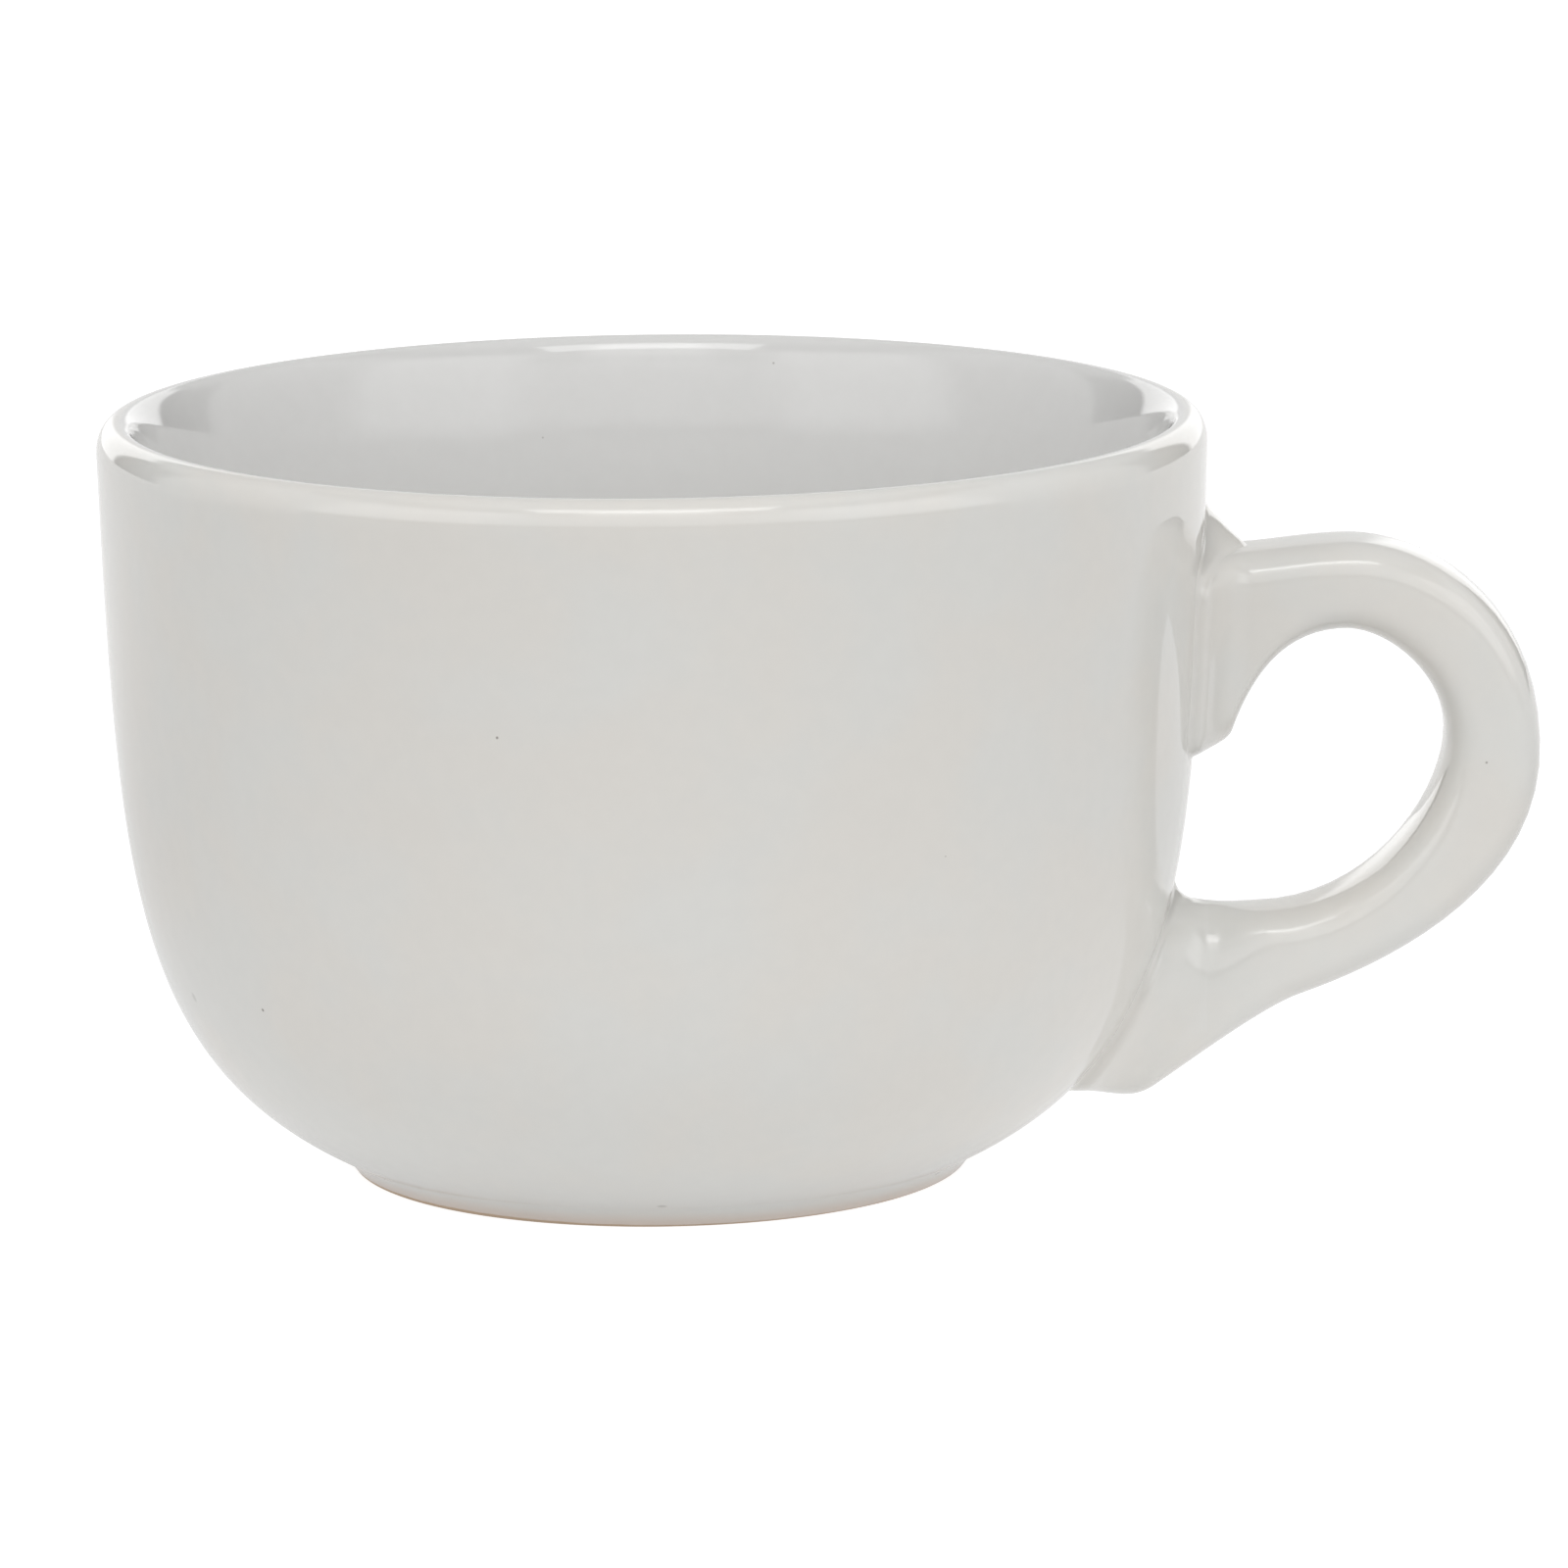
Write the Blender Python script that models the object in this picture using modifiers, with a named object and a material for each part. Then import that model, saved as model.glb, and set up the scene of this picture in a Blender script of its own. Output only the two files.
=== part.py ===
"""A wide stoneware cappuccino mug: a turned bowl, a cast loop handle and the two slip joints that hold it.

Metres, +Z up. The mug stands on z = 0 with its handle towards +X, and the origin is the middle of its
footprint, so the bowl's own axis lies a little to the left of it.
"""

import math

import bmesh
import bpy
import numpy as np
from mathutils import Vector
from mathutils.geometry import interpolate_bezier

MM = 0.001

# Bowl
RIM_RADIUS = 57.0 * MM
HEIGHT = 78.3 * MM
CREST_RADIUS = 55.4 * MM  # top of the lip
LIP_HEIGHT = 4.2 * MM  # how far the lip's rounding reaches down the outer side
INNER_RADIUS = 50.4 * MM  # of the wall's inner side, below the slope up to the lip
SLOPE_HEIGHT = 16.3 * MM  # how far that slope reaches down from the crest
CREST_ARM, SLOPE_ARM = 1.7 * MM, 7.0 * MM  # the slope's arms, at the crest and at the wall
FLOOR_HEIGHT = 7.0 * MM  # inner floor above the table
FLOOR_RADIUS = 20.0 * MM  # flat middle of the inner floor
BELLY_START = (34.6 * MM, 2.65 * MM)  # radius and height where the belly leaves the foot's neck
BELLY_RISE = 27.0  # degrees above level, where the belly leaves the neck
WALL_RISE = 88.3  # degrees above level, at the lip
BELLY_ARM, WALL_ARM = 22.6 * MM, 43.3 * MM  # the outer curve's arms: longer is fuller
FLOOR_ARM, INNER_WALL_ARM = 28.0 * MM, 34.0 * MM  # and the inner curve's
ROUND_ARM = 0.55  # the arms of a round quarter turn, as a part of its radius
BELLY_STEPS, INNER_STEPS, SLOPE_STEPS, LIP_STEPS, NECK_STEPS, EDGE_STEPS = 18, 14, 9, 6, 5, 3
SEGMENTS = 64

# Foot ring
FOOT_RADIUS = 32.1 * MM
FOOT_WIDTH = 4.6 * MM
FOOT_EDGE = 0.7 * MM  # rounding of the ring's edges
NECK_ARM = 1.2 * MM  # of the hollow curve from the belly to the ring
NECK_END = -35.0  # degrees, on the ring's rounded edge, where that curve ends
RECESS_DEPTH = 2.2 * MM

# Handle
GRIP_WIDTH = 14.0 * MM
UPPER_FLARE, UPPER_FLARE_REACH = 4.8 * MM, 4.0 * MM  # on each side, towards the wall
LOWER_FLARE, LOWER_FLARE_REACH = 4.0 * MM, 4.5 * MM
SECTION_POWER = 2.7  # 2 is an ellipse, and more is squarer
SECTION_POINTS = 24
SPAN_STEPS = (6, 7, 11, 13, 6, 8)  # sections in each span: more where it is long or bends tightly

# Both rails run from the upper root over the loop to the lower root, in the handle's own plane.
# Each knot is x from the bowl's axis, z, heading in degrees, and the curve's arms before and after it, in mm.
OUTER_RAIL = (
    (52.5, 63.4, 2, 0.0, 3.0),  # inside the bowl's wall
    (60.5, 63.8, 3, 2.0, 3.5),
    (71.8, 64.7, 0, 4.0, 6.1),  # top
    (91.3, 42.6, -90, 17.1, 15.2),  # farthest from the bowl
    (66.5, 17.1, -161, 8.6, 4.0),
    (51.0, 7.5, -146, 5.2, 3.4),
    (40.5, 8.2, -190, 5.0, 0.0),  # blunt lower lip of the lower root
)
INNER_RAIL = (
    (52.0, 42.1, 12, 0.0, 4.4),  # blunt lower lip of the upper root
    (59.2, 44.8, 70, 1.2, 4.6),
    (71.0, 55.4, 0, 7.3, 4.4),  # top of the finger hole
    (81.5, 44.0, -90, 6.3, 6.8),
    (62.1, 26.0, 180, 12.0, 1.8),  # bottom of the finger hole
    (57.0, 26.4, 174, 1.8, 1.8),
    (51.5, 27.4, 170, 1.8, 0.0),
)

# Slip joints
CLEARANCE = 0.3 * MM  # between pieces that touch
SLIP_THICKNESS = 0.6 * MM
COLLAR_EDGE = 0.8 * MM  # how far the collar's thin edge stands off the handle
COLLAR_STEPS = 7
UPPER_WEB = 5.2 * MM  # how far the slip runs up the wall above the upper root
LOWER_WEB = 2.4 * MM  # and above the lower root
WEB_LENGTH = 1.0  # how far it runs out along the handle's upper side, as a part of the first span
SKIRT = 1.2 * MM  # how far it runs out to the sides
SKIRT_LENGTH = 0.5
IN_WALL = 0.3  # the part of the collar's length that starts inside the wall
HOLLOW = 1.2  # how hollow its slope is: 1 is straight

# Finish
GLAZE = (0.70, 0.69, 0.66, 1.0)
GLAZE_ROUGHNESS = 0.05

# The object's box runs from the bowl's rim to the end of the handle, and its middle is the origin.
HANDLE_REACH = max(knot[0] for knot in OUTER_RAIL) * MM
AXIS_X = -(HANDLE_REACH - RIM_RADIUS) / 2


def heading(degrees):
    """A unit vector in the profile plane, measured from level."""
    return Vector((math.cos(math.radians(degrees)), math.sin(math.radians(degrees))))


def arc(centre, radius, start, end, steps):
    """Points on a circle, from one heading to another."""
    turns = [start + (end - start) * i / steps for i in range(steps + 1)]
    return [Vector(centre) + heading(turn) * radius for turn in turns]


def belly():
    """The bowl's outer side, from the foot up to the lip."""
    low = Vector(BELLY_START)
    high = Vector((RIM_RADIUS, HEIGHT - LIP_HEIGHT))
    low_arm = low + heading(BELLY_RISE) * BELLY_ARM
    high_arm = high - heading(WALL_RISE) * WALL_ARM
    return interpolate_bezier(low, low_arm, high_arm, high, BELLY_STEPS)


def inside():
    """The bowl's inner side, from the flat floor up to the slope under the lip."""
    low = Vector((FLOOR_RADIUS, FLOOR_HEIGHT))
    high = Vector((INNER_RADIUS, HEIGHT - SLOPE_HEIGHT))
    low_arm = low + heading(0) * FLOOR_ARM
    high_arm = high - heading(90) * INNER_WALL_ARM
    return interpolate_bezier(low, low_arm, high_arm, high, INNER_STEPS)


def lip():
    """The lip: the wall thins on a slope up its inner side, and rounds over the crest to the outer side."""
    inner = Vector((INNER_RADIUS, HEIGHT - SLOPE_HEIGHT))
    crest = Vector((CREST_RADIUS, HEIGHT))
    outer = Vector((RIM_RADIUS, HEIGHT - LIP_HEIGHT))
    slope_arm, crest_arm = heading(90) * SLOPE_ARM, heading(0) * CREST_ARM
    up = interpolate_bezier(inner, inner + slope_arm, crest - crest_arm, crest, SLOPE_STEPS)
    over = heading(0) * (RIM_RADIUS - CREST_RADIUS) * ROUND_ARM
    rise = heading(WALL_RISE) * LIP_HEIGHT * ROUND_ARM
    down = interpolate_bezier(crest, crest + over, outer + rise, outer, LIP_STEPS)
    return up + down[1:]


def foot():
    """The foot ring and the recess within it, from the belly to the axis."""
    belly_end = Vector(BELLY_START)
    ring_outer = FOOT_RADIUS - FOOT_EDGE, FOOT_EDGE
    ring_inner = FOOT_RADIUS - FOOT_WIDTH + FOOT_EDGE, FOOT_EDGE
    recess_corner = FOOT_RADIUS - FOOT_WIDTH - FOOT_EDGE, RECESS_DEPTH - FOOT_EDGE
    edge = arc(ring_outer, FOOT_EDGE, NECK_END, -90, EDGE_STEPS)
    leave = belly_end - heading(BELLY_RISE) * NECK_ARM
    arrive = edge[0] - heading(NECK_END - 90) * NECK_ARM
    neck = interpolate_bezier(belly_end, leave, arrive, edge[0], NECK_STEPS)
    points = neck[1:-1] + edge
    points += arc(ring_inner, FOOT_EDGE, -90, -180, EDGE_STEPS)
    points += arc(recess_corner, FOOT_EDGE, 0, 90, EDGE_STEPS)
    return points + [Vector((0, RECESS_DEPTH))]


def bowl_profile():
    """Half the bowl's section, from the middle of its floor over the lip to the middle of its underside."""
    return [Vector((0, FLOOR_HEIGHT))] + inside() + lip()[1:-1] + belly()[::-1] + foot()


def outer_skin_profile():
    """The bowl filled solid, as far as the handle needs it."""
    return [Vector((0, HEIGHT))] + belly()[::-1] + [Vector((0, BELLY_START[1]))]


def new_object(name, mesh, collection, parent):
    made = bpy.data.objects.new(name, mesh)
    made.parent = parent
    collection.objects.link(made)
    return made


def turned(name, profile, collection, parent):
    """A profile in the XZ plane turned once about Z."""
    mesh = bpy.data.meshes.new(name)
    edges = [(i, i + 1) for i in range(len(profile) - 1)]
    mesh.from_pydata([(x, 0, z) for x, z in profile], edges, [])
    made = new_object(name, mesh, collection, parent)
    screw = made.modifiers.new("turn", "SCREW")
    screw.steps = SEGMENTS
    screw.render_steps = SEGMENTS
    screw.use_merge_vertices = True
    screw.merge_threshold = 0.01 * MM
    screw.use_smooth_shade = True
    return made


def rail_point(rail, place):
    """The point at a place along a rail, where whole numbers are its knots."""
    span = min(int(place), len(rail) - 2)
    x0, z0, heading0, _, leave = rail[span]
    x1, z1, heading1, arrive, _ = rail[span + 1]
    start, end = Vector((x0, z0)), Vector((x1, z1))
    first, second = start + heading(heading0) * leave, end - heading(heading1) * arrive
    t = place - span
    s = 1 - t
    return (start * s**3 + first * 3 * s * s * t + second * 3 * s * t * t + end * t**3) * MM


def wall_radius(height):
    """The bowl's outer radius at a height."""
    points = belly()
    return float(np.interp(height, [point.y for point in points], [point.x for point in points]))


def nearness(distance, reach):
    """1 at the wall or in it, and 0 from that reach on."""
    return min(1.0, max(0.0, 1 - distance / reach))


def half_width(point, upper):
    """Half the handle's width at a point of the upper or lower half, which flares to the wall at its root."""
    distance = point.x - wall_radius(point.y)
    if upper:
        return GRIP_WIDTH / 2 + UPPER_FLARE * nearness(distance, UPPER_FLARE_REACH) ** 2
    return GRIP_WIDTH / 2 + LOWER_FLARE * nearness(distance, LOWER_FLARE_REACH) ** 2


def section(outer_place, inner_place, outer_growth=0.0, inner_growth=0.0, side_growth=0.0):
    """One closed section between the rails, a rounded rectangle set across the handle."""
    outer, inner = rail_point(OUTER_RAIL, outer_place), rail_point(INNER_RAIL, inner_place)
    upper = outer_place < len(SPAN_STEPS) / 2
    across = (outer - inner).normalized()
    outer, inner = outer + across * outer_growth, inner - across * inner_growth
    middle, half = (outer + inner) / 2, (outer - inner) / 2
    power = 2 / SECTION_POWER
    points = []
    for i in range(SECTION_POINTS):
        turn = math.tau * i / SECTION_POINTS
        along = math.copysign(abs(math.cos(turn)) ** power, math.cos(turn))
        aside = math.copysign(abs(math.sin(turn)) ** power, math.sin(turn))
        point = middle + half * along
        width = half_width(point, upper) + side_growth
        points.append((point.x, width * aside, point.y))
    return points


def lofted(name, sections, collection, parent):
    """A closed skin through a run of sections."""
    shape = bmesh.new()
    rings = [[shape.verts.new(point) for point in ring] for ring in sections]
    for near, far in zip(rings, rings[1:]):
        for i in range(SECTION_POINTS):
            shape.faces.new((near[i - 1], near[i], far[i], far[i - 1]))
    shape.faces.new(rings[0])
    shape.faces.new(rings[-1])
    bmesh.ops.recalc_face_normals(shape, faces=shape.faces)
    mesh = bpy.data.meshes.new(name)
    shape.to_mesh(mesh)
    shape.free()
    return new_object(name, mesh, collection, parent)


def handle_sections():
    places = [span + i / steps for span, steps in enumerate(SPAN_STEPS) for i in range(steps)]
    places.append(len(SPAN_STEPS))
    return [section(place, place) for place in places]


def collar_sections(root, way, web_height, web_on_outer):
    """The slip squeezed out round one root: a collar with a web on its upper side.

    way is +1 for the root where the rails begin, and -1 for the one where they end.
    """
    sections = []
    for i in range(COLLAR_STEPS + 1):
        done = i / COLLAR_STEPS
        left = min(1.0, (1 - done) / (1 - IN_WALL)) ** HOLLOW
        web_place = root + way * WEB_LENGTH * done
        skirt_place = root + way * SKIRT_LENGTH * done
        web = COLLAR_EDGE + (web_height - COLLAR_EDGE) * left
        side = COLLAR_EDGE + (SKIRT - COLLAR_EDGE) * left
        if web_on_outer:
            sections.append(section(web_place, skirt_place, web, COLLAR_EDGE, side))
        else:
            sections.append(section(skirt_place, web_place, COLLAR_EDGE, web, side))
    return sections


def as_cutter(made, growth):
    """Hides a copy of a piece, and grows it outwards to leave a gap round that piece when it cuts."""
    made.hide_render = True
    made.display_type = "WIRE"
    grow = made.modifiers.new("grow", "DISPLACE")
    grow.strength = growth
    grow.mid_level = 0.0
    return made


def wall_cutter(name, growth, collection, parent):
    return as_cutter(turned(name, outer_skin_profile(), collection, parent), growth)


def cut(piece, cutter):
    boolean = piece.modifiers.new("cut by " + cutter.name, "BOOLEAN")
    boolean.operation = "DIFFERENCE"
    boolean.object = cutter


def glaze(name):
    """A glossy off-white glaze."""
    material = bpy.data.materials.new(name)
    material.use_nodes = True
    shader = material.node_tree.nodes["Principled BSDF"]
    shader.inputs["Base Color"].default_value = GLAZE
    shader.inputs["Roughness"].default_value = GLAZE_ROUGHNESS
    shader.inputs["Metallic"].default_value = 0.0
    return material


def finish(piece):
    piece.data.materials.append(glaze(piece.name + "_glaze"))
    piece.data.shade_smooth()


def new_collection(name):
    made = bpy.data.collections.new(name)
    bpy.context.scene.collection.children.link(made)
    return made


def main():
    for old in list(bpy.data.objects):
        bpy.data.objects.remove(old, do_unlink=True)
    mug = new_collection("cappuccino_mug")
    cutters = new_collection("cutters")
    axis = bpy.data.objects.new("bowl_axis", None)
    axis.location = (AXIS_X, 0, 0)
    mug.objects.link(axis)

    wall_gap = wall_cutter("wall_gap", CLEARANCE, cutters, axis)
    slip_face = wall_cutter("slip_face", CLEARANCE + SLIP_THICKNESS, cutters, axis)
    root_face = wall_cutter("root_face", 2 * CLEARANCE + SLIP_THICKNESS, cutters, axis)
    handle_gap = as_cutter(lofted("handle_gap", handle_sections(), cutters, axis), CLEARANCE)
    cut(handle_gap, slip_face)

    bowl = turned("bowl", bowl_profile(), mug, axis)
    handle = lofted("handle", handle_sections(), mug, axis)
    cut(handle, root_face)
    upper_collar = collar_sections(0, 1, UPPER_WEB, True)
    upper = lofted("upper_slip_joint", upper_collar, mug, axis)
    lower_collar = collar_sections(len(SPAN_STEPS), -1, LOWER_WEB, False)
    lower = lofted("lower_slip_joint", lower_collar, mug, axis)
    for joint in (upper, lower):
        cut(joint, wall_gap)
        cut(joint, handle_gap)
    for piece in (bowl, handle, upper, lower):
        finish(piece)


main()
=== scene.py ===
"""The looks of the cappuccino mug: a glossy off-white glaze over its bowl, its handle and their joints.

Metres, in the row frame: +Z up, the mug on z = 0, its handle towards +X, and the camera on the -Y side.
Lengths that are given in mm are multiplied by MM.
"""

import math

import bmesh
import bpy
import numpy as np
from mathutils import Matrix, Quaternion, Vector
from mathutils.geometry import interpolate_bezier


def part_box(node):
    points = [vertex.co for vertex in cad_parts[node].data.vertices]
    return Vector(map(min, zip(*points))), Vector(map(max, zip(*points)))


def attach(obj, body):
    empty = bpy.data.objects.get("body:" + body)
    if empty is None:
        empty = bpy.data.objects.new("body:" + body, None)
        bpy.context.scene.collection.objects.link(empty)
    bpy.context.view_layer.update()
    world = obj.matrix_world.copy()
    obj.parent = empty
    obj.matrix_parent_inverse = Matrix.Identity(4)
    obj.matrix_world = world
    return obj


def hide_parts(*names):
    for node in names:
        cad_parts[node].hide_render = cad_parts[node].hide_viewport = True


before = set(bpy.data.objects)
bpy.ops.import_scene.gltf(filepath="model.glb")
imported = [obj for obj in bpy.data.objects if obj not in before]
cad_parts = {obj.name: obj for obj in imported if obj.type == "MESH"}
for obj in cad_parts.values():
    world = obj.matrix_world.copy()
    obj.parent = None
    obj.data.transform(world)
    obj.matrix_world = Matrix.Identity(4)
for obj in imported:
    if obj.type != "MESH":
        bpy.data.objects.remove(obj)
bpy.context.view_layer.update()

MM = 0.001

# Bowl: its axis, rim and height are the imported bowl's, and the section's curves are the part's own, apart
# from the lip, whose crest is a little rounder
INSET = 0.005 * MM  # keeps the skins within the box of the solids
bowl_low, bowl_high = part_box("bowl")
AXIS = Vector(((bowl_low[0] + bowl_high[0]) / 2, 0, 0))
RIM_RADIUS = (bowl_high[0] - bowl_low[0]) / 2 - INSET
HEIGHT = bowl_high[2] - INSET
CREST_RADIUS = 54.6 * MM  # top of the lip
LIP_HEIGHT = 3.2 * MM  # how far the lip's rounding reaches down the outer side
INNER_RADIUS = 50.4 * MM  # of the wall's inner side, below the slope up to the lip
SLOPE_HEIGHT = 16.3 * MM  # how far that slope reaches down from the crest
CREST_ARM, SLOPE_ARM = 2.1 * MM, 7.2 * MM  # the slope's arms, at the crest and at the wall
FLOOR_HEIGHT = 7.0 * MM  # inner floor above the table
FLOOR_RADIUS = 20.0 * MM  # flat middle of the inner floor
BELLY_START = (34.6 * MM, 2.65 * MM)  # radius and height where the belly leaves the foot's neck
BELLY_RISE = 27.0  # degrees above level, where the belly leaves the neck
WALL_RISE = 88.3  # degrees above level, at the lip
BELLY_ARM, WALL_ARM = 22.6 * MM, 43.3 * MM  # the outer curve's arms: longer is fuller
FLOOR_ARM, INNER_WALL_ARM = 28.0 * MM, 34.0 * MM  # and the inner curve's
ROUND_ARM = 0.6  # the arms of the lip's outer rounding, as a part of its width and height
BELLY_STEPS, INNER_STEPS, SLOPE_STEPS, LIP_STEPS = 56, 44, 36, 18
NECK_STEPS, EDGE_STEPS, FLOOR_STEPS = 12, 8, 6
SEGMENTS = 224

# Foot ring
FOOT_RADIUS = 32.1 * MM
FOOT_WIDTH = 4.6 * MM
FOOT_EDGE = 0.7 * MM  # rounding of the ring's edges
NECK_ARM = 1.2 * MM  # of the hollow curve from the belly to the ring
NECK_END = -35.0  # degrees, on the ring's rounded edge, where that curve ends
RECESS_DEPTH = 2.2 * MM

# Handle: rounded sections between two rails. A knot is x from the bowl's axis, z, heading in degrees,
# and the curve's arms before and after it, in mm
GRIP_WIDTH = 14.0 * MM
CORNER_DEPTH = 4.1 * MM  # of the rounding on each end of a section, whose sides are flat between
SECTION_POWER = 3.0  # 2 is an ellipse, and more is squarer
LOW_ROOT_POWER = 2.1  # the same for the inner half of the lower root
LOW_ROOT_PLACES = 3.7, 5.0  # along the rails, where the section turns into that of the lower root
ROUND_POINTS = 34  # on each rounded end of a section
FLAT_POINTS = 14  # on each flat side
MEASURE_STEPS = 40  # for each point of a rounded end, when they are spaced evenly
RING_STEP = 0.06  # along the rails
OUTER_RAIL = (
    (52.5, 63.4, 2, 0.0, 3.0),
    (60.5, 63.8, 3, 2.0, 3.5),
    (71.8, 64.7, 0, 4.0, 6.1),
    (91.3, 42.6, -90, 17.1, 15.2),
    (66.5, 17.1, -161, 8.6, 4.0),
    (51.0, 7.5, -146, 5.2, 3.4),
    (40.5, 8.2, -190, 5.0, 0.0),
)
INNER_RAIL = (
    (52.0, 42.1, 12, 0.0, 4.4),
    (59.2, 44.8, 70, 1.2, 4.6),
    (71.0, 55.4, 0, 7.3, 4.4),
    (81.5, 44.0, -90, 6.3, 6.8),
    (62.1, 26.0, 180, 12.0, 1.8),
    (57.0, 26.4, 174, 1.8, 1.8),
    (51.5, 27.4, 170, 1.8, 0.0),
)
LAST_PLACE = len(OUTER_RAIL) - 1

# Joints: the handle flares where it meets the wall, and slip fills the corner, with a web on top
UPPER_FLARE, UPPER_FLARE_REACH = 5.2 * MM, 4.8 * MM  # on each side
LOWER_FLARE, LOWER_FLARE_REACH = 4.8 * MM, 6.5 * MM
SEAM_FILLET = 0.6 * MM
UPPER_WEB = 4.9 * MM  # how far the slip runs up the wall, and out along the handle, at the upper root
LOWER_WEB = 3.2 * MM  # and at the lower root
UPPER_FILL, LOWER_FILL = 0.9, 0.0  # 0 is a hollow web, and 1 a straight one
WEB_WIDTH = 0.75  # of the handle's width
WEB_SIDE = 0.3  # of the web's height, at its sides
FILLET_STEPS = 10
ROOT_SPAN = 1.6  # where the evenly placed rings end and those that lean onto the wall begin
ROOT_RINGS = 26
SUNK = 0.04 * MM  # how far the fillet's edge lies under the bowl's glaze
PLUG_DEPTH = 1.2 * MM  # how far the handle's skin goes on into the wall
SEAM_HALVINGS = 30  # of a stretch of the rails, when the place where it meets the wall is looked for
PLACE_STEP = 0.01  # along the rails, when a direction is measured

# Glaze: it drifts between a cool and a warm tone, is thin above the foot and bare where the mug stands
COOL_GLAZE, WARM_GLAZE = (0.697, 0.693, 0.668, 1), (0.707, 0.688, 0.652, 1)
# Painted shading: the inside is painted darker near the lip and lighter low down, both a little cooler, to
# even out how light falls in the bowl
INNER_SHADED_HIGH, INNER_LIGHTENED_LOW = (0.66, 0.657, 0.647, 1), (0.745, 0.743, 0.73, 1)
INNER_SHADING_HEIGHTS = 50.0 * MM, 74.0 * MM  # heights between which the inside's painted shading changes
INNER_SHADING_EDGE = 0.3  # softness of the change to the inside's painted shading, over the lip
THIN_GLAZE = (0.67, 0.59, 0.53, 1)
CLAY = (0.52, 0.39, 0.28, 1)
GLAZE_ROUGHNESS = 0.03, 0.06
CLAY_ROUGHNESS = 0.85
DRIFT_SIZE, GRAIN_SIZE, WAVE_SIZE, PEEL_SIZE = 16.0 * MM, 2.0 * MM, 9.0 * MM, 1.1 * MM
DRIFT_RANGE, GRAIN_RANGE = (0.35, 0.65), (0.3, 0.7)  # values of the noise at the two ends of its effect
FINE_DETAIL, GLOSS_DETAIL = 3.0, 2.0  # how much smaller detail the noise has
GRAIN = 0.006  # how much lighter or darker the fine grain is
WAVE_HEIGHT, PEEL_HEIGHT = 0.02 * MM, 0.0007 * MM
BARE_LEFT, BARE_RIGHT = 0.5 * MM, 0.2 * MM  # height of the bare clay at the left and right of the foot
BARE_UNEVEN = 0.25 * MM
BARE_EDGE = 0.05 * MM  # softness of the clay's edge
THIN_HEIGHT = 1.8 * MM  # of the thin glaze above that

# Specks in the glaze: azimuth from the camera's side in degrees, height in mm, radius in mm and darkness
SPECK = (0.16, 0.14, 0.12, 1)
OUTER_SPECKS = (
    (-16.0, 54.7, 0.2, 0.7),
    (-49.9, 23.3, 0.25, 0.8),
    (-66.5, 21.9, 0.7, 0.25),
    (0.1, 3.0, 0.7, 0.35),
    (57.3, 2.0, 0.35, 0.7),
    (31.0, 41.0, 0.12, 0.4),
    (-118.0, 48.0, 0.2, 0.7),
    (146.0, 30.0, 0.25, 0.6),
)
INNER_SPECKS = ((165.5, 75.6, 0.18, 0.5), (193.4, 68.0, 0.15, 0.4), (20.0, 52.0, 0.2, 0.6))
GRIP_SPECK = (85.3, -7.0, 42.0), 0.18, 0.6  # x from the bowl's axis, y and z in mm, radius, darkness
SPECK_CELL = 12.0 * MM  # one faint speck, or none, in each cell of that size
SPECK_RADIUS = 0.12 * MM
SPECK_SHARE = 0.3  # of the cells that have one
FAINT_SPECK = 0.5  # how dark it is
SPECK_CORE = 0.3  # the part of a speck's radius that is fully dark, on those listed

# Camera, fitted to the photograph: the distance in metres, the angles in degrees and the lens in mm
CAMERA_DISTANCE = 1.0297
CAMERA_ELEVATION = 10.99
CAMERA_ROLL = -0.682
CAMERA_PAN = 0.734
CAMERA_TILT = 0.024
CAMERA_LENS = 228.7
CAMERA_CLIP = 0.01, 50.0
AIM_HEIGHT = 39.0 * MM

# Light: panels round the mug, the same on its left and right. Azimuth from the camera's side and elevation,
# each from and to in degrees, half the width of the panel's soft edge, and its strength
PANELS = (
    ((-9, 32), (8, 34), 3, 1.15),  # under the key light
    ((-9, 32), (36, 62), 5, 0.75),  # round the key light
    ((-9, 17), (30, 60), 4, 0.5),  # the key light's glow
    ((-9, 17), (40, 60), 4, 0.8),  # brighter further up
    ((-9, 17), (50, 60), 4, 1.0),  # and brightest close to the light
    ((32, 75), (6, 44), 5, 1.9),  # front sides
    ((75, 123), (-9, 50), 3, 0.8),  # sides
    ((147, 172), (-9, 26), 2, 1.7),  # backdrop
    ((172, 189), (-9, 26), 2, 0.9),  # dimmer straight behind the mug
    ((123, 189), (26, 62), 5, 0.55),  # above the backdrop
    ((-9, 189), (62, 99), 5, 0.5),  # ceiling
)
SOFTBOX = 3.2  # strength of the key light
SOFTBOX_ELEVATION = 60.0
SOFTBOX_DISTANCE = 1.2
SOFTBOX_SIZE = (0.8, 0.3)
TABLE_FRONT, TABLE_BACK = 0.29, 0.64  # the table's glow far from the mug
TABLE_DEPTHS = -0.3, 0.4  # between which it changes
TABLE_NEAR = 0.25  # what is added to it near the mug
NEAR_REACH = 0.06, 0.2  # distances from the bowl's axis between which that fades
TABLE_LEFT, TABLE_RIGHT = 0.83, 1.05  # how strong the glow is on the two sides
TABLE_SIDES = -0.2, 0.2  # between which that changes
CONTACT_GLOW, CONTACT_REACH = 0.8, 0.045  # the part of the glow left at the foot, and where it is full
TABLE_COLOUR = (0.3, 0.3, 0.3, 1)
TABLE_WHITE = 0.88  # the glow, instead, where the table is looked at
MIRRORED_WHITE = 0.5  # how far the glow turns into that one where the glaze mirrors the table behind the mug
MIRRORED_DEPTHS = 0.0, 0.3  # between which it does
FLOOR_SIZE = 8.0


def heading(degrees):
    """A unit vector in the section plane, measured from level."""
    return Vector((math.cos(math.radians(degrees)), math.sin(math.radians(degrees))))


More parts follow.
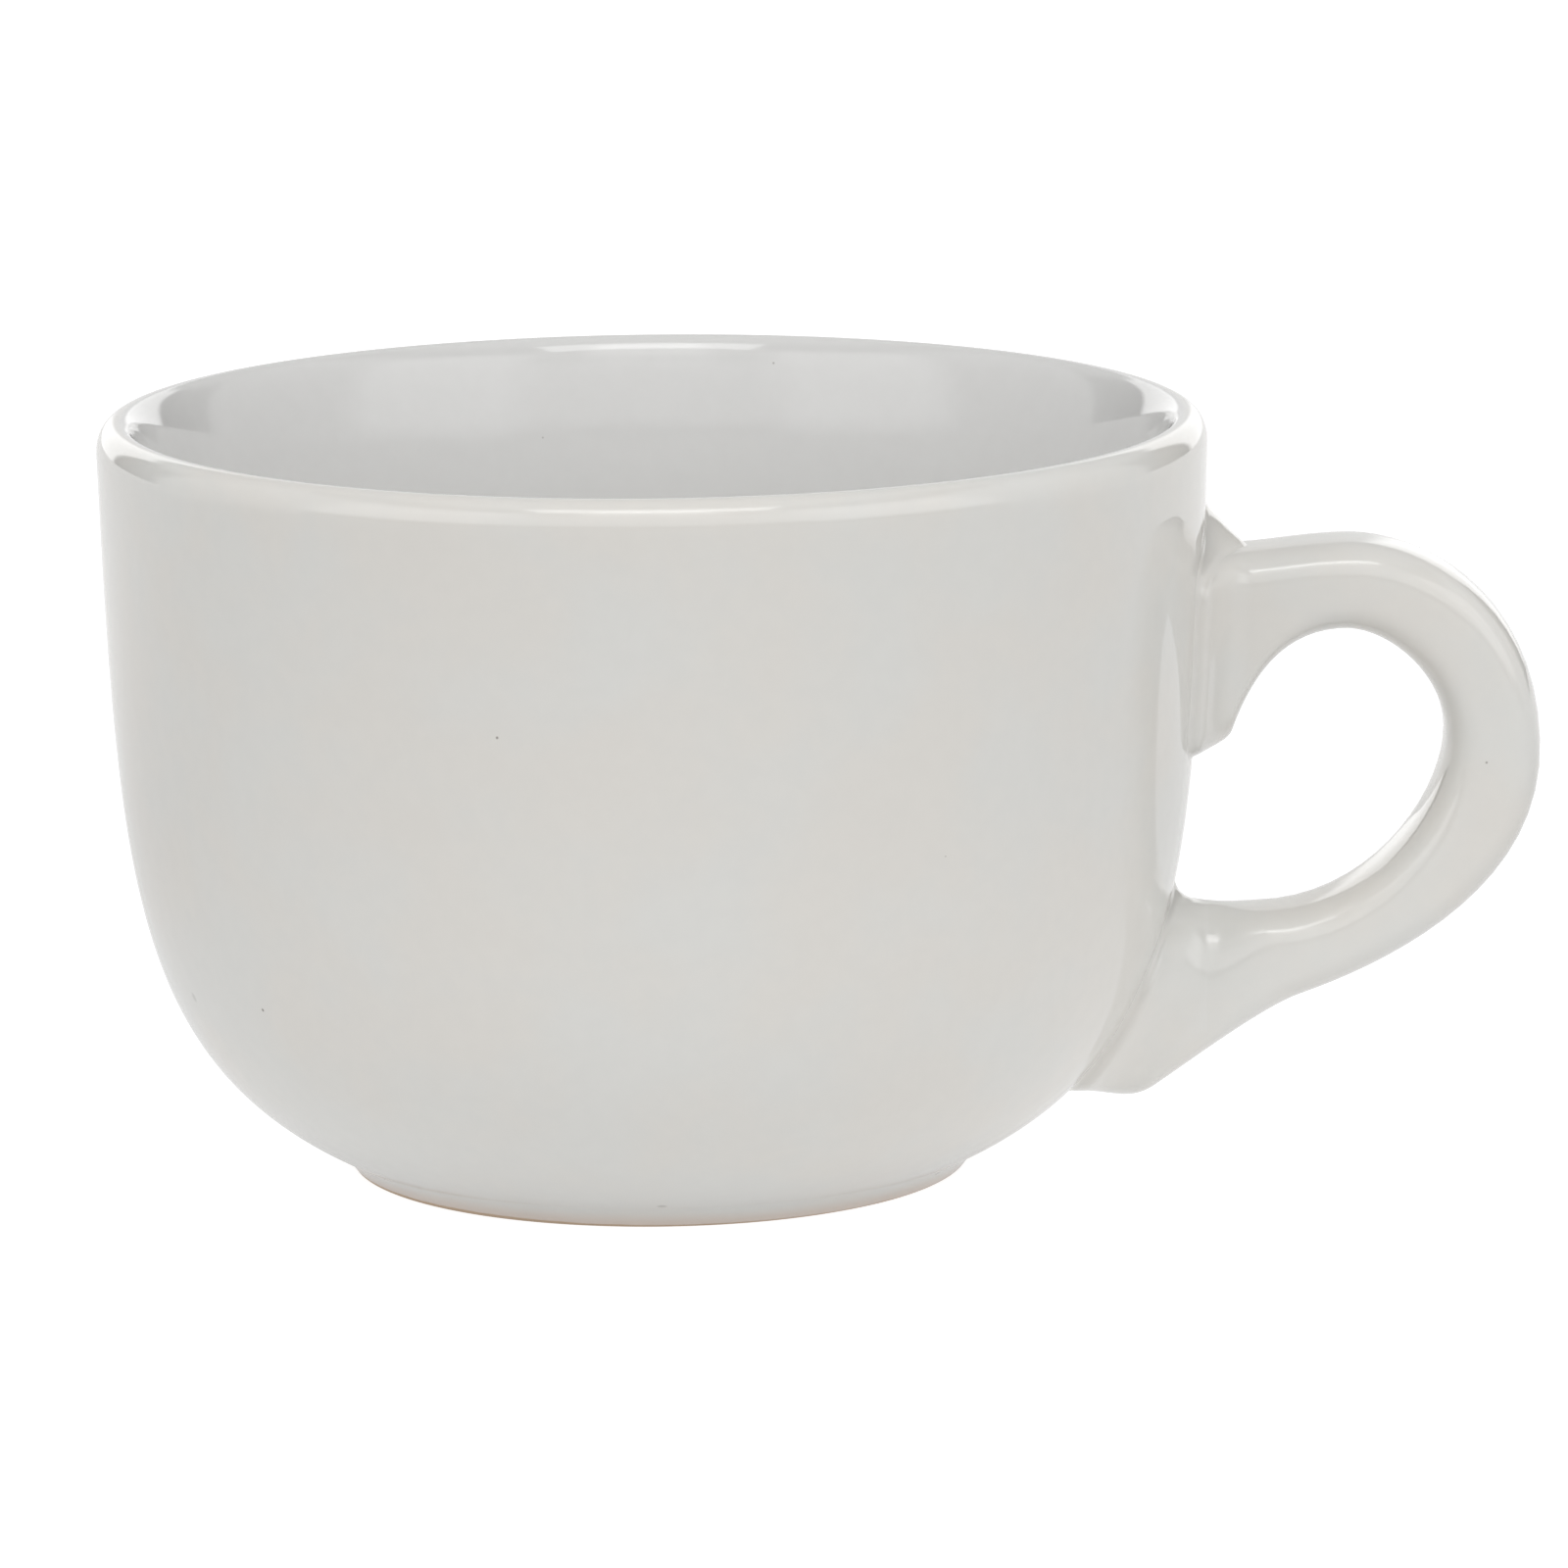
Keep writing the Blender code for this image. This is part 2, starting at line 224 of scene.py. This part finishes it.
def arc(centre, radius, start, end, steps):
    """Points on a circle, from one heading to another."""
    turns = [start + (end - start) * i / steps for i in range(steps + 1)]
    return [Vector(centre) + heading(turn) * radius for turn in turns]


def belly():
    """The bowl's outer side, from the foot up to the lip."""
    low = Vector(BELLY_START)
    high = Vector((RIM_RADIUS, HEIGHT - LIP_HEIGHT))
    low_arm = low + heading(BELLY_RISE) * BELLY_ARM
    high_arm = high - heading(WALL_RISE) * WALL_ARM
    return interpolate_bezier(low, low_arm, high_arm, high, BELLY_STEPS)


def inside():
    """The bowl's inner side, from the flat floor up to the slope under the lip."""
    low = Vector((FLOOR_RADIUS, FLOOR_HEIGHT))
    high = Vector((INNER_RADIUS, HEIGHT - SLOPE_HEIGHT))
    low_arm = low + heading(0) * FLOOR_ARM
    high_arm = high - heading(90) * INNER_WALL_ARM
    return interpolate_bezier(low, low_arm, high_arm, high, INNER_STEPS)


def lip():
    """The lip: the wall thins on a slope up its inner side, and rounds over the crest to the outer side."""
    inner = Vector((INNER_RADIUS, HEIGHT - SLOPE_HEIGHT))
    crest = Vector((CREST_RADIUS, HEIGHT))
    outer = Vector((RIM_RADIUS, HEIGHT - LIP_HEIGHT))
    slope_arm, crest_arm = heading(90) * SLOPE_ARM, heading(0) * CREST_ARM
    up = interpolate_bezier(inner, inner + slope_arm, crest - crest_arm, crest, SLOPE_STEPS)
    over = heading(0) * (RIM_RADIUS - CREST_RADIUS) * ROUND_ARM
    rise = heading(WALL_RISE) * LIP_HEIGHT * ROUND_ARM
    down = interpolate_bezier(crest, crest + over, outer + rise, outer, LIP_STEPS)
    return up + down[1:]


def foot():
    """The foot ring, from the belly to the edge of the recess within it."""
    belly_end = Vector(BELLY_START)
    ring_outer = FOOT_RADIUS - FOOT_EDGE, FOOT_EDGE
    ring_inner = FOOT_RADIUS - FOOT_WIDTH + FOOT_EDGE, FOOT_EDGE
    recess_corner = FOOT_RADIUS - FOOT_WIDTH - FOOT_EDGE, RECESS_DEPTH - FOOT_EDGE
    edge = arc(ring_outer, FOOT_EDGE, NECK_END, -90, EDGE_STEPS)
    leave = belly_end - heading(BELLY_RISE) * NECK_ARM
    arrive = edge[0] - heading(NECK_END - 90) * NECK_ARM
    neck = interpolate_bezier(belly_end, leave, arrive, edge[0], NECK_STEPS)
    points = neck[1:-1] + edge
    points += arc(ring_inner, FOOT_EDGE, -90, -180, EDGE_STEPS)
    return points + arc(recess_corner, FOOT_EDGE, 0, 90, EDGE_STEPS)


def level_run(radius, height, outward):
    """Points along a flat disc, short of its middle and of its edge."""
    parts = range(1, FLOOR_STEPS) if outward else range(FLOOR_STEPS - 1, 0, -1)
    return [Vector((radius * part / FLOOR_STEPS, height)) for part in parts]


def bowl_profile():
    """Half the bowl's section, from the middle of its floor over the lip to the middle of its underside."""
    recess = FOOT_RADIUS - FOOT_WIDTH - FOOT_EDGE
    points = level_run(FLOOR_RADIUS, FLOOR_HEIGHT, True) + inside() + lip()[1:-1]
    return points + belly()[::-1] + foot() + level_run(recess, RECESS_DEPTH, False)


def bowl_rings():
    """A ring of points round the bowl's axis for each point of its section."""
    turns = [math.tau * i / SEGMENTS for i in range(SEGMENTS)]
    rings = []
    for radius, height in bowl_profile():
        rings.append([Vector((radius * math.cos(turn), radius * math.sin(turn), height)) for turn in turns])
    return rings


def rail_point(rail, place):
    """The point at a place along a rail, where whole numbers are its knots."""
    span = min(int(place), LAST_PLACE - 1)
    x0, z0, heading0, _, leave = rail[span]
    x1, z1, heading1, arrive, _ = rail[span + 1]
    start, end = Vector((x0, z0)), Vector((x1, z1))
    first, second = start + heading(heading0) * leave, end - heading(heading1) * arrive
    t = place - span
    s = 1 - t
    return (start * s**3 + first * 3 * s * s * t + second * 3 * s * t * t + end * t**3) * MM


def rounding(turn, power):
    """A place on a rounded end: how far out it is, and how far aside."""
    along, aside = math.sin(turn), math.cos(turn)
    return abs(along) ** (2 / power), math.copysign(abs(aside) ** (2 / power), aside)


def stations():
    """The places round a section: a part of its flat side, and a turn round one of its ends."""
    turns = np.linspace(0, math.pi, MEASURE_STEPS * ROUND_POINTS + 1)
    points = np.array([rounding(turn, SECTION_POWER) for turn in turns]) * (CORNER_DEPTH, GRIP_WIDTH / 2)
    run = np.concatenate(([0.0], np.cumsum(np.linalg.norm(np.diff(points, axis=0), axis=1))))
    cap = np.interp(np.linspace(0, run[-1], ROUND_POINTS), run, turns)
    flats = [1 - 2 * (i + 1) / (FLAT_POINTS + 1) for i in range(FLAT_POINTS)]
    front = [(1, turn) for turn in cap] + [(flat, math.pi) for flat in flats]
    return front + [(-flat, turn + math.pi) for flat, turn in front]


def eased(value):
    """A soft step from 0 to 1."""
    value = min(1.0, max(0.0, value))
    return value * value * (3 - 2 * value)


def nearness(distance, reach):
    """1 at the wall or in it, and 0 from that reach on."""
    return min(1.0, max(0.0, 1 - distance / reach))


def handle_point(wall, station, place):
    """A point on the handle, from the bowl's axis, at a station round the section and a place along it."""
    flat, turn = station
    outer, inner = rail_point(OUTER_RAIL, place), rail_point(INNER_RAIL, place)
    half_depth = (outer - inner).length / 2
    along, aside = rounding(turn, SECTION_POWER)
    rise = flat * (half_depth - CORNER_DEPTH) + math.copysign(along, flat) * CORNER_DEPTH
    point = (outer + inner) / 2 + (outer - inner).normalized() * rise
    out = min(1.0, max(-1.0, rise / half_depth))
    distance = point.x - wall.radius(point.y)
    width = GRIP_WIDTH / 2
    if place < LAST_PLACE / 2:
        width += UPPER_FLARE * nearness(distance, UPPER_FLARE_REACH) ** 2
    else:
        width += LOWER_FLARE * nearness(distance, LOWER_FLARE_REACH) ** 2
        if out < 0:
            start, end = LOW_ROOT_PLACES
            oval = (1 - abs(out) ** LOW_ROOT_POWER) ** (1 / LOW_ROOT_POWER)
            aside += (math.copysign(oval, aside) - aside) * eased((place - start) / (end - start))
    return Vector((point.x, width * aside, point.y))


class Wall:
    """The bowl's outer side as something to measure from."""

    def __init__(self):
        points = belly()
        self.heights = [point.y for point in points]
        self.radii = [point.x for point in points]

    def radius(self, height):
        return float(np.interp(height, self.heights, self.radii))

    def above(self, point):
        return math.hypot(point.x, point.y) - self.radius(point.z)

    def normal(self, point):
        step = 0.5 * MM
        slope = (self.radius(point.z + step) - self.radius(point.z - step)) / (2 * step)
        around = Vector((point.x, point.y, 0)).normalized()
        return (around - Vector((0, 0, slope))).normalized()

    def onto(self, point, rise):
        """The point moved straight out from the axis, to that far above the wall."""
        scale = (self.radius(point.z) + rise) / math.hypot(point.x, point.y)
        return Vector((point.x * scale, point.y * scale, point.z))


def middle_point(place):
    """The middle of the handle's section."""
    point = (rail_point(OUTER_RAIL, place) + rail_point(INNER_RAIL, place)) / 2
    return Vector((point.x, 0, point.y))


def seam_place(wall, station, root, way):
    """Where a station's line meets the wall, from a root's end outwards."""
    inner, outer = 0.0, ROOT_SPAN
    for _ in range(SEAM_HALVINGS):
        middle = (inner + outer) / 2
        if wall.above(handle_point(wall, station, root + way * middle)) < 0:
            inner = middle
        else:
            outer = middle
    return outer


def root_rings(wall, section, root, way, web, fill, top):
    """Rings from the even part of the handle down to a root, its fillet and the plug in the wall.

    way is +1 at the root where the rails begin and -1 where they end. top is the side of the section
    that faces up: +1 on the outer rail and -1 on the inner one.
    """
    rings = [[] for _ in range(ROOT_RINGS + FILLET_STEPS + 1)]
    count = len(section)
    for i, station in enumerate(section):
        place = seam_place(wall, station, root, way)
        seam = handle_point(wall, station, root + way * place)
        ahead = handle_point(wall, station, root + way * (place + PLACE_STEP))
        before = handle_point(wall, section[i - 1], root + way * place)
        after = handle_point(wall, section[(i + 1) % count], root + way * place)
        pace = (ahead - seam).length / PLACE_STEP
        side = (after - before).cross(ahead - seam).normalized()
        if side.dot(seam - middle_point(root + way * place)) < 0:
            side = -side
        normal = wall.normal(seam)
        spread = (side - normal * side.dot(normal)).normalized()
        along, aside = rounding(station[1], SECTION_POWER)
        ridge = max(0.0, 1 - (aside / WEB_WIDTH) ** 2) ** 2
        lift = along * (WEB_SIDE + (1 - WEB_SIDE) * ridge) if station[0] == top else 0.0
        reach = SEAM_FILLET + (web - SEAM_FILLET) * lift
        start = place + reach / pace
        for k in range(ROOT_RINGS):
            done = k / ROOT_RINGS
            ring_place = root + way * (ROOT_SPAN + (start - ROOT_SPAN) * done)
            rings[k].append(handle_point(wall, station, ring_place))
        high = handle_point(wall, station, root + way * start)
        low = wall.onto(seam + spread * reach, -SUNK)
        bend = seam.lerp((high + low) / 2, fill * lift)
        for k in range(FILLET_STEPS):
            t = k / (FILLET_STEPS - 1)
            rings[ROOT_RINGS + k].append(high * (1 - t) ** 2 + bend * 2 * t * (1 - t) + low * t * t)
        rings[-1].append(low - wall.normal(low) * PLUG_DEPTH)
    return rings


def handle_rings():
    """The handle's rings, from the plug of its upper root to that of its lower one."""
    wall = Wall()
    section = stations()
    upper = root_rings(wall, section, 0, 1, UPPER_WEB, UPPER_FILL, 1)
    lower = root_rings(wall, section, LAST_PLACE, -1, LOWER_WEB, LOWER_FILL, -1)
    places = np.arange(ROOT_SPAN, LAST_PLACE - ROOT_SPAN, RING_STEP)[1:]
    grip = [[handle_point(wall, station, place) for station in section] for place in places]
    return upper[::-1] + grip + lower


def skin(name, rings):
    """A closed surface through rings of points, with a fan at each end."""
    shape = bmesh.new()
    made = [[shape.verts.new(point + AXIS) for point in ring] for ring in rings]
    for near, far in zip(made, made[1:]):
        for i in range(len(near)):
            shape.faces.new((near[i - 1], near[i], far[i], far[i - 1]))
    for ring in (made[0], made[-1]):
        centre = shape.verts.new(sum((vert.co for vert in ring), Vector()) / len(ring))
        for i in range(len(ring)):
            shape.faces.new((ring[i - 1], ring[i], centre))
    bmesh.ops.recalc_face_normals(shape, faces=shape.faces)
    mesh = bpy.data.meshes.new(name)
    shape.to_mesh(mesh)
    shape.free()
    mesh.shade_smooth()
    piece = bpy.data.objects.new(name, mesh)
    bpy.context.scene.collection.objects.link(piece)
    return piece


class Graph:
    """A node tree whose nodes are made and fed in one call."""

    def __init__(self, tree):
        self.tree = tree
        tree.nodes.clear()

    def add(self, kind, inputs=None, **settings):
        made = self.tree.nodes.new("ShaderNode" + kind)
        for name, value in settings.items():
            setattr(made, name, value)
        for name, value in (inputs or {}).items():
            if isinstance(value, bpy.types.NodeSocket):
                self.tree.links.new(value, made.inputs[name])
            else:
                made.inputs[name].default_value = value
        return made


def new_material(name):
    material = bpy.data.materials.new(name)
    material.use_nodes = True
    return material, Graph(material.node_tree)


def ramp(graph, value, start, end, low=0.0, high=1.0):
    """A soft step from one level to another."""
    inputs = {"Value": value, "From Min": start, "From Max": end, "To Min": low, "To Max": high}
    return graph.add("MapRange", inputs, interpolation_type="SMOOTHSTEP").outputs[0]


def combine(graph, operation, first, second=0.0):
    """A step of arithmetic on one value or two."""
    return graph.add("Math", {0: first, 1: second}, operation=operation).outputs[0]


def blend(graph, part, first, second):
    """A colour between two."""
    return graph.add("Mix", {0: part, 6: first, 7: second}, data_type="RGBA").outputs[2]


def noise(graph, place, size, detail=1.0):
    """Soft noise about 0.5, in blots of about that size."""
    return graph.add("TexNoise", {"Vector": place, "Scale": 1 / size, "Detail": detail}).outputs[0]


def inner_side(graph, place):
    """1 on the inside of the bowl."""
    level = graph.add("VectorMath", {0: place, 1: (1, 1, 0)}, operation="MULTIPLY").outputs[0]
    out = graph.add("VectorMath", {0: level, 1: AXIS}, operation="SUBTRACT").outputs[0]
    away = graph.add("VectorMath", {0: out}, operation="LENGTH").outputs["Value"]
    outward = graph.add("VectorMath", {0: out}, operation="NORMALIZE").outputs[0]
    normal = graph.add("NewGeometry").outputs["Normal"]
    facing = graph.add("VectorMath", {0: normal, 1: outward}, operation="DOT_PRODUCT").outputs["Value"]
    within = combine(graph, "LESS_THAN", away, RIM_RADIUS)
    return combine(graph, "MULTIPLY", within, ramp(graph, facing, INNER_SHADING_EDGE, -INNER_SHADING_EDGE))


def profile_place(points, azimuth, height):
    """The place on a turned profile at an azimuth and a height, in the row frame."""
    ordered = sorted(points, key=lambda point: point.y)
    heights, radii = [point.y for point in ordered], [point.x for point in ordered]
    radius = float(np.interp(height * MM, heights, radii))
    turn = math.radians(azimuth)
    return AXIS + Vector((radius * math.sin(turn), -radius * math.cos(turn), height * MM))


def speck_places():
    """The place, radius and darkness of each speck that is listed."""
    outer, inner = foot()[:NECK_STEPS] + belly(), inside() + lip()[:SLOPE_STEPS]
    specks = [(profile_place(outer, *speck[:2]), *speck[2:]) for speck in OUTER_SPECKS]
    specks += [(profile_place(inner, *speck[:2]), *speck[2:]) for speck in INNER_SPECKS]
    place, radius, darkness = GRIP_SPECK
    return specks + [(AXIS + Vector(place) * MM, radius, darkness)]


def specks(graph, place):
    """How much of a speck there is at a place: those listed, and faint ones scattered over the rest."""
    cells = graph.add("TexVoronoi", {"Vector": place, "Scale": 1 / SPECK_CELL}).outputs
    pick = graph.add("SeparateXYZ", {0: cells["Color"]}).outputs[0]
    chosen = combine(graph, "LESS_THAN", pick, SPECK_SHARE)
    spot = ramp(graph, cells["Distance"], SPECK_RADIUS / SPECK_CELL, 0.0, 0.0, FAINT_SPECK)
    total = combine(graph, "MULTIPLY", chosen, spot)
    for centre, radius, darkness in speck_places():
        away = graph.add("VectorMath", {0: place, 1: centre}, operation="DISTANCE").outputs["Value"]
        spot = ramp(graph, away, radius * MM, SPECK_CORE * radius * MM, 0.0, darkness)
        total = combine(graph, "MAXIMUM", total, spot)
    return total


def above_clay(graph, place):
    """The height above the uneven edge of the bare clay on the foot."""
    across, _, height = graph.add("SeparateXYZ", {0: place}).outputs
    edge = ramp(graph, across, AXIS.x - FOOT_RADIUS, AXIS.x + FOOT_RADIUS / 2, BARE_LEFT, BARE_RIGHT)
    uneven = combine(graph, "SUBTRACT", noise(graph, place, WAVE_SIZE / 2, FINE_DETAIL), 0.5)
    edge = combine(graph, "ADD", edge, combine(graph, "MULTIPLY", uneven, BARE_UNEVEN))
    return combine(graph, "SUBTRACT", height, edge)


def glaze():
    """A glossy off-white glaze with a soft waviness, a few specks, bare clay under the foot and painted
    shading inside the bowl.
    """
    material, graph = new_material("glaze")
    place = graph.add("TexCoord").outputs["Object"]
    drift = ramp(graph, noise(graph, place, DRIFT_SIZE, FINE_DETAIL), *DRIFT_RANGE)
    above = above_clay(graph, place)
    bare = ramp(graph, above, BARE_EDGE, -BARE_EDGE)
    grain = ramp(graph, noise(graph, place, GRAIN_SIZE, FINE_DETAIL), *GRAIN_RANGE, 1 - GRAIN, 1 + GRAIN)

    colour = blend(graph, drift, COOL_GLAZE, WARM_GLAZE)
    height = graph.add("SeparateXYZ", {0: place}).outputs["Z"]
    # painted shading inside the bowl: lighter low down, darker near the lip
    inner_painted_shading = blend(graph, ramp(graph, height, *INNER_SHADING_HEIGHTS), INNER_LIGHTENED_LOW, INNER_SHADED_HIGH)
    colour = blend(graph, inner_side(graph, place), colour, inner_painted_shading)
    colour = blend(graph, ramp(graph, above, THIN_HEIGHT, 0.0), colour, THIN_GLAZE)
    colour = blend(graph, specks(graph, place), colour, SPECK)
    colour = blend(graph, bare, colour, CLAY)
    colour = graph.add("VectorMath", {0: colour, "Scale": grain}, operation="SCALE").outputs[0]
    cloud = noise(graph, place, DRIFT_SIZE / 2, GLOSS_DETAIL)
    gloss = ramp(graph, cloud, *DRIFT_RANGE, *GLAZE_ROUGHNESS)
    gloss = combine(graph, "MAXIMUM", gloss, combine(graph, "MULTIPLY", bare, CLAY_ROUGHNESS))

    waves = graph.add("Bump", {"Height": noise(graph, place, WAVE_SIZE), "Distance": WAVE_HEIGHT})
    peel = {"Height": noise(graph, place, PEEL_SIZE), "Distance": PEEL_HEIGHT, "Normal": waves.outputs[0]}
    skin_normal = graph.add("Bump", peel).outputs[0]
    shader = graph.add("BsdfPrincipled", {"Base Color": colour, "Roughness": gloss, "Normal": skin_normal})
    graph.add("OutputMaterial", {"Surface": shader.outputs[0]})
    return material


def camera():
    """The photograph's camera: it looks at the bowl's axis, then turns aside and leans a little."""
    data = bpy.data.cameras.new("camera")
    data.lens = CAMERA_LENS
    data.clip_start, data.clip_end = CAMERA_CLIP
    made = bpy.data.objects.new("camera", data)
    rise = math.radians(CAMERA_ELEVATION)
    back = Vector((0, -math.cos(rise), math.sin(rise)))
    made.location = AXIS + Vector((0, 0, AIM_HEIGHT)) + back * CAMERA_DISTANCE
    look = (-back).to_track_quat("-Z", "Y")
    roll = Quaternion((0, 0, 1), math.radians(CAMERA_ROLL))
    pan = Quaternion((0, 1, 0), -math.radians(CAMERA_PAN))
    tilt = Quaternion((1, 0, 0), math.radians(CAMERA_TILT))
    made.rotation_mode = "QUATERNION"
    made.rotation_quaternion = look @ roll @ pan @ tilt
    bpy.context.scene.collection.objects.link(made)
    bpy.context.scene.camera = made


def direct_ray(graph):
    """1 for what is looked at, straight or through something clear, and 0 for what is mirrored."""
    path = graph.add("LightPath").outputs
    return combine(graph, "MAXIMUM", path["Is Camera Ray"], path["Is Transmission Ray"])


def panel(graph, turn, rise, azimuths, elevations, edge, strength):
    """A soft-edged panel of light, by directions in degrees."""
    left = ramp(graph, turn, azimuths[0] - edge, azimuths[0] + edge)
    right = ramp(graph, turn, azimuths[1] + edge, azimuths[1] - edge)
    low = ramp(graph, rise, elevations[0] - edge, elevations[0] + edge)
    high = ramp(graph, rise, elevations[1] + edge, elevations[1] - edge, 0.0, strength)
    across = combine(graph, "MULTIPLY", left, right)
    return combine(graph, "MULTIPLY", across, combine(graph, "MULTIPLY", low, high))


def studio():
    """The light all round: panels of several strengths, with a dark gap before the backdrop on each side."""
    world = bpy.data.worlds.new("studio")
    world.use_nodes = True
    bpy.context.scene.world = world
    graph = Graph(world.node_tree)
    direction = graph.add("TexCoord").outputs["Generated"]
    across, depth, height = graph.add("SeparateXYZ", {0: direction}).outputs
    aside = combine(graph, "ABSOLUTE", across)
    turn = combine(graph, "ARCTAN2", aside, combine(graph, "MULTIPLY", depth, -1.0))
    turn = combine(graph, "DEGREES", turn)
    rise = combine(graph, "DEGREES", combine(graph, "ARCSINE", height))
    total = 0.0
    for azimuths, elevations, edge, strength in PANELS:
        shine = panel(graph, turn, rise, azimuths, elevations, edge, strength)
        total = combine(graph, "ADD", shine, total)
    strength = graph.add("Mix", {0: direct_ray(graph), 2: total, 3: 1.0}).outputs[0]
    light = graph.add("Background", {"Strength": strength, "Color": (1, 1, 1, 1)})
    graph.add("OutputWorld", {"Surface": light.outputs[0]})


def softbox():
    """The key light, over the camera."""
    data = bpy.data.lights.new("softbox", "AREA")
    data.shape = "RECTANGLE"
    data.size, data.size_y = SOFTBOX_SIZE
    data.energy = SOFTBOX * math.pi * SOFTBOX_SIZE[0] * SOFTBOX_SIZE[1]
    made = bpy.data.objects.new("softbox", data)
    rise = math.radians(SOFTBOX_ELEVATION)
    back = Vector((0, -math.cos(rise), math.sin(rise)))
    made.location = AXIS + Vector((0, 0, AIM_HEIGHT)) + back * SOFTBOX_DISTANCE
    made.rotation_euler = (-back).to_track_quat("-Z", "Y").to_euler()
    bpy.context.scene.collection.objects.link(made)


def floor():
    """A white table that runs out of the picture and lights the mug from below."""
    bpy.ops.mesh.primitive_plane_add(size=FLOOR_SIZE)
    made = bpy.context.object
    made.name = "floor"
    material, graph = new_material("floor")
    place = graph.add("NewGeometry").outputs["Position"]
    across, depth, _ = graph.add("SeparateXYZ", {0: place}).outputs
    away = graph.add("VectorMath", {0: place, 1: AXIS}, operation="DISTANCE").outputs["Value"]
    near = ramp(graph, away, *NEAR_REACH, TABLE_NEAR, 0.0)
    glow = combine(graph, "ADD", near, ramp(graph, depth, *TABLE_DEPTHS, TABLE_FRONT, TABLE_BACK))
    glow = combine(graph, "MULTIPLY", glow, ramp(graph, across, *TABLE_SIDES, TABLE_LEFT, TABLE_RIGHT))
    contact = ramp(graph, away, FOOT_RADIUS, CONTACT_REACH, CONTACT_GLOW, 1.0)
    glow = combine(graph, "MULTIPLY", glow, contact)
    glossy = graph.add("LightPath").outputs["Is Glossy Ray"]
    behind = ramp(graph, depth, *MIRRORED_DEPTHS, 0.0, MIRRORED_WHITE)
    mirrored = combine(graph, "MULTIPLY", glossy, behind)
    seen = combine(graph, "MAXIMUM", direct_ray(graph), mirrored)
    white = graph.add("Mix", {0: seen, 2: glow, 3: TABLE_WHITE}).outputs[0]
    table = graph.add("BsdfDiffuse", {"Color": TABLE_COLOUR})
    light = graph.add("Emission", {"Strength": white})
    both = graph.add("AddShader", {0: table.outputs[0], 1: light.outputs[0]})
    graph.add("OutputMaterial", {"Surface": both.outputs[0]})
    made.data.materials.append(material)


finish = glaze()
bowl = skin("bowl_glaze", bowl_rings())
handle = skin("handle_glaze", handle_rings())
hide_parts("bowl")
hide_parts("handle", "upper_slip_joint", "lower_slip_joint")
for piece in (bowl, handle):
    piece.data.materials.append(finish)
    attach(piece, "root")

camera()
studio()
softbox()
floor()
bpy.context.scene.view_settings.view_transform = "Standard"
